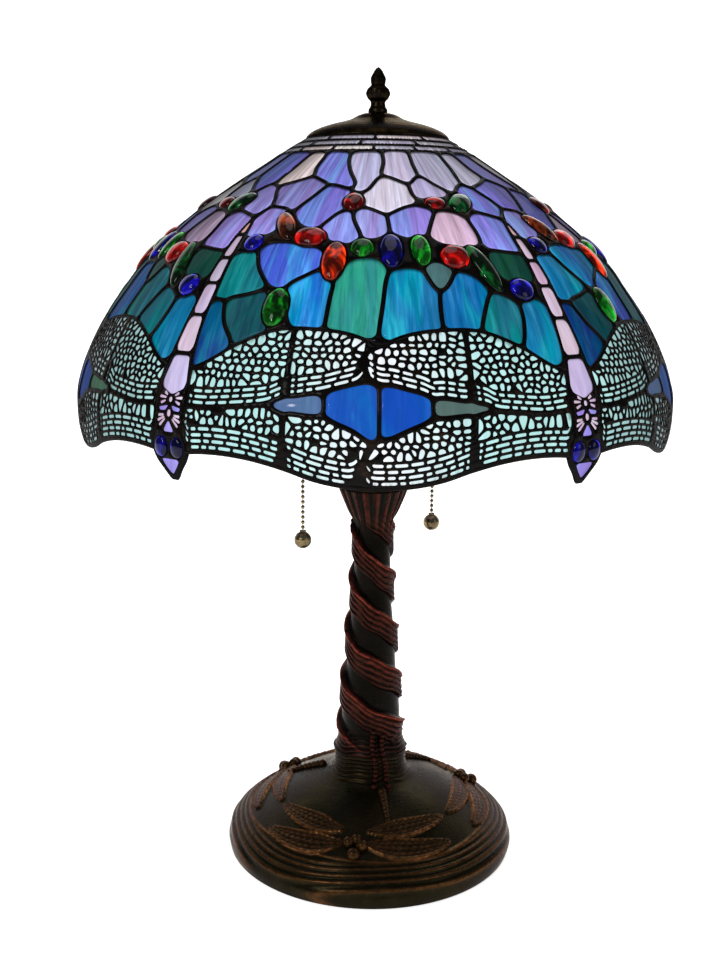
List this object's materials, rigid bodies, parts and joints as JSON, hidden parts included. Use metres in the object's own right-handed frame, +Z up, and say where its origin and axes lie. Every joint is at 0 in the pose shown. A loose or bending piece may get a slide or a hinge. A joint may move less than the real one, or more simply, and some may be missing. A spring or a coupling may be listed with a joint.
{
  "type": "stained glass table lamp",
  "caption": "Table lamp with a domed leaded-glass dragonfly shade, twisted bronze trunk, round cast foot, pull-chain light cluster, dished cap and finial.",
  "frame": {"origin": "centre of the felt's underside, on the table, below the rod", "axes": "+Z up along the rod, -Y towards the front, +X to the right"},
  "size_m": [0.458, 0.458, 0.628],
  "materials": {
    "bronze": "dark patinated bronze, copper showing on the ridges",
    "iron": "rough cast",
    "felt": "felt",
    "steel": "zinc plated",
    "brass": "satin",
    "antique_brass": "antiqued, worn bright on the high spots",
    "phenolic": "moulded",
    "bulb_glass": "frosted",
    "crown_glass": "streaky opalescent",
    "mosaic_glass": "streaky opalescent",
    "wing_glass": "pale opalescent",
    "dragonfly_glass": "streaky opalescent",
    "solder": "dark patinated solder over copper foil"
  },
  "bodies": {
    "lamp": {"base_ballast": "iron", "base_casting": "bronze", "base_plate": "steel", "cluster_body": "brass", "cluster_cap": "brass", "cord_bushing": "phenolic", "felt_pad": "felt", "lamp_pipe": "brass", "nipple_left": "brass", "nipple_right": "brass", "pull_bell_left": "brass", "pull_bell_right": "brass", "riser_rod": "brass", "rod_nut": "steel", "rod_washer": "steel", "seat_nut": "brass", "seat_washer": "brass", "socket_cap_left": "brass", "socket_cap_right": "brass", "socket_core_left": "phenolic", "socket_core_right": "phenolic", "socket_shell_left": "brass", "socket_shell_right": "brass", "spacer_tube": "brass", "stem_cap": "bronze", "stem_casting": "bronze"},
    "shade": {"crown_bricks": "crown_glass", "dragonfly_1": "dragonfly_glass", "dragonfly_2": "dragonfly_glass", "dragonfly_3": "dragonfly_glass", "dragonfly_4": "dragonfly_glass", "dragonfly_5": "dragonfly_glass", "mosaic_panel_1": "mosaic_glass", "mosaic_panel_2": "mosaic_glass", "mosaic_panel_3": "mosaic_glass", "mosaic_panel_4": "mosaic_glass", "mosaic_panel_5": "mosaic_glass", "shade_rim": "solder", "shade_ring": "brass", "vase_cap": "bronze", "wing_panel_1": "wing_glass", "wing_panel_2": "wing_glass", "wing_panel_3": "wing_glass", "wing_panel_4": "wing_glass", "wing_panel_5": "wing_glass"},
    "finial_thread": {"finial_insert": "brass"},
    "finial": {"finial": "bronze"},
    "bulb_thread_right": {"bulb_cap_right": "steel"},
    "bulb_right": {"bulb_glass_right": "bulb_glass"},
    "pull_link_right": {"pull_link_right": "brass"},
    "chain_coupler_right": {"chain_coupler_right": "antique_brass"},
    "pull_chain_right": {"pull_chain_right": "antique_brass", "pull_ball_right": "antique_brass"},
    "bulb_thread_left": {"bulb_cap_left": "steel"},
    "bulb_left": {"bulb_glass_left": "bulb_glass"},
    "pull_link_left": {"pull_link_left": "brass"},
    "chain_coupler_left": {"chain_coupler_left": "antique_brass"},
    "pull_chain_left": {"pull_chain_left": "antique_brass", "pull_ball_left": "antique_brass"}
  },
  "joints": [
    {"name": "shade_lift", "type": "slide", "parent": "lamp", "child": "shade", "axis": [0, 0, 1], "range_m": [0, 0.3]},
    {"name": "finial_rise", "type": "slide", "parent": "shade", "child": "finial_thread", "axis": [0, 0, 1], "range_m": [0, 0.0122]},
    {"name": "finial_turn", "type": "hinge", "parent": "finial_thread", "child": "finial", "pos_m": [0, 0, 0.6], "axis": [0, 0, 1], "range_deg": [0, 4680]},
    {"name": "bulb_right_out", "type": "slide", "parent": "lamp", "child": "bulb_thread_right", "axis": [0.8441, 0.5072, 0.1736], "range_m": [0, 0.01815]},
    {"name": "bulb_right_turn", "type": "hinge", "parent": "bulb_thread_right", "child": "bulb_right", "pos_m": [0.08441, 0.05072, 0.42836], "axis": [0.8441, 0.5072, 0.1736], "range_deg": [0, 2520]},
    {"name": "pull_right", "type": "slide", "parent": "lamp", "child": "pull_link_right", "axis": [0.0292, 0.28, -0.9596], "range_m": [0, 0.008], "stiffness_N_per_m": 300, "springref_m": -0.006},
    {"name": "chain_right_sway", "type": "hinge", "parent": "pull_link_right", "child": "chain_coupler_right", "pos_m": [0.04971, 0.03659, 0.39651], "axis": [0.8054, 0.5928, 0], "range_deg": [-18, 18]},
    {"name": "chain_right_swing", "type": "hinge", "parent": "chain_coupler_right", "child": "pull_chain_right", "pos_m": [0.04971, 0.03659, 0.39036], "axis": [0.5928, -0.8054, 0], "range_deg": [-6, 18]},
    {"name": "bulb_left_out", "type": "slide", "parent": "lamp", "child": "bulb_thread_left", "axis": [-0.8441, -0.5072, 0.1736], "range_m": [0, 0.01815]},
    {"name": "bulb_left_turn", "type": "hinge", "parent": "bulb_thread_left", "child": "bulb_left", "pos_m": [-0.08441, -0.05072, 0.42836], "axis": [-0.8441, -0.5072, 0.1736], "range_deg": [0, 2520]},
    {"name": "pull_left", "type": "slide", "parent": "lamp", "child": "pull_link_left", "axis": [-0.2609, 0.1057, -0.9596], "range_m": [0, 0.008], "stiffness_N_per_m": 300, "springref_m": -0.006},
    {"name": "chain_left_sway", "type": "hinge", "parent": "pull_link_left", "child": "chain_coupler_left", "pos_m": [-0.05564, -0.02671, 0.39651], "axis": [-0.9015, -0.4328, 0], "range_deg": [-18, 18]},
    {"name": "chain_left_swing", "type": "hinge", "parent": "chain_coupler_left", "child": "pull_chain_left", "pos_m": [-0.05564, -0.02671, 0.39036], "axis": [-0.4328, 0.9015, 0], "range_deg": [-6, 18]}
  ],
  "couplings": [
    {"joint": "finial_turn", "follows": "finial_rise", "rad_per_m": 6684.1},
    {"joint": "bulb_right_turn", "follows": "bulb_right_out", "rad_per_m": 1731},
    {"joint": "bulb_left_turn", "follows": "bulb_left_out", "rad_per_m": 1731}
  ]
}
